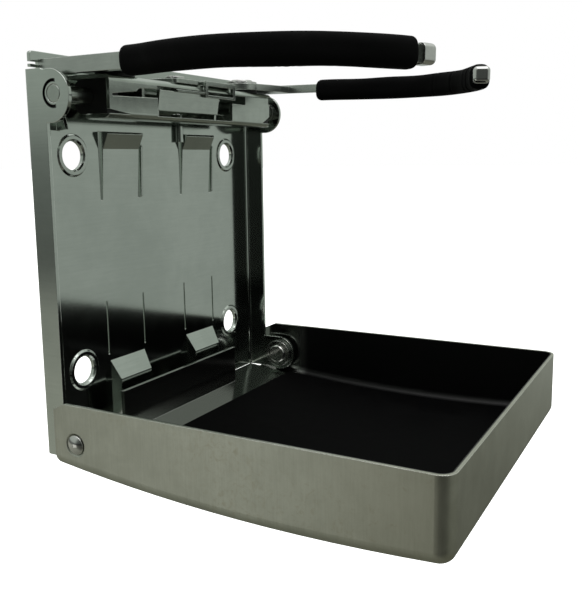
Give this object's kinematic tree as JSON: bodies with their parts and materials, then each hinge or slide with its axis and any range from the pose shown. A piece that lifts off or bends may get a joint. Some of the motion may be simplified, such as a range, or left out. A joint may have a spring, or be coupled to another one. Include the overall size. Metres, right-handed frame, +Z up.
{
  "type": "folding cup holder",
  "caption": "Wall-mounted stainless drink holder: a pressed back plate, a tray that folds up from its foot, and a folding carrier with padded arms that reach round a cup.",
  "frame": {"origin": "centre of the screw pattern, on the face of the back plate that lies on the wall", "axes": "+X to the right as seen from the front, +Z up, the tray and arms reach out along -Y, +Y into the wall"},
  "size_m": [0.1074, 0.108, 0.1056],
  "materials": {
    "plate_steel": "half-polished stainless sheet",
    "tray_steel": "satin stainless sheet, fine grain",
    "carrier_steel": "satin stainless sheet",
    "arm_steel": "satin stainless strip",
    "pin_steel": "polished stainless",
    "foam": "closed-cell foam, matt black",
    "mat_rubber": "matt black liner",
    "washer_nylon": "black nylon"
  },
  "bodies": {
    "back": {"back_plate": "plate_steel"},
    "rod": {"hinge_rod": "pin_steel"},
    "tray": {"tray_shell": "tray_steel", "tray_mat": "mat_rubber", "tray_rivet_left": "pin_steel", "tray_rivet_right": "pin_steel", "tray_spacer_left": "washer_nylon", "tray_spacer_right": "washer_nylon", "tray_washer_left": "pin_steel", "tray_washer_right": "pin_steel"},
    "carrier": {"arm_carrier": "carrier_steel", "stop_clip": "carrier_steel", "tie_plate": "carrier_steel", "tie_rivet": "pin_steel", "arm_rivet_left": "pin_steel", "arm_rivet_right": "pin_steel", "friction_washer_left": "washer_nylon", "friction_washer_right": "washer_nylon", "cap_washer_left": "pin_steel", "cap_washer_right": "pin_steel", "end_bush_left": "washer_nylon", "end_bush_right": "washer_nylon"},
    "left_arm": {"left_arm_bar": "arm_steel", "left_foam_sleeve": "foam", "left_tip_cap": "pin_steel"},
    "right_arm": {"right_arm_bar": "arm_steel", "right_foam_sleeve": "foam", "right_tip_cap": "pin_steel"}
  },
  "joints": [
    {"name": "tray_fold", "type": "hinge", "parent": "back", "child": "tray", "pos_m": [0, -0.0132, -0.0418], "axis": [-1, 0, 0], "range_deg": [0, 55]},
    {"name": "carrier_fold", "type": "hinge", "parent": "back", "child": "carrier", "pos_m": [0, -0.0098, 0.0428], "axis": [1, 0, 0], "range_deg": [0, 91]},
    {"name": "left_arm_swing", "type": "hinge", "parent": "carrier", "child": "left_arm", "pos_m": [-0.03, -0.01151, 0.04977], "axis": [0, -0.0157, 0.9999], "range_deg": [0, 8.5]},
    {"name": "right_arm_swing", "type": "hinge", "parent": "carrier", "child": "right_arm", "pos_m": [0.03, -0.01151, 0.04977], "axis": [0, 0.0157, -0.9999], "range_deg": [-5.4, 3]},
    {"name": "rod_turn", "type": "hinge", "parent": "back", "child": "rod", "pos_m": [0, -0.0098, 0.0428], "axis": [1, 0, 0], "continuous": true}
  ]
}
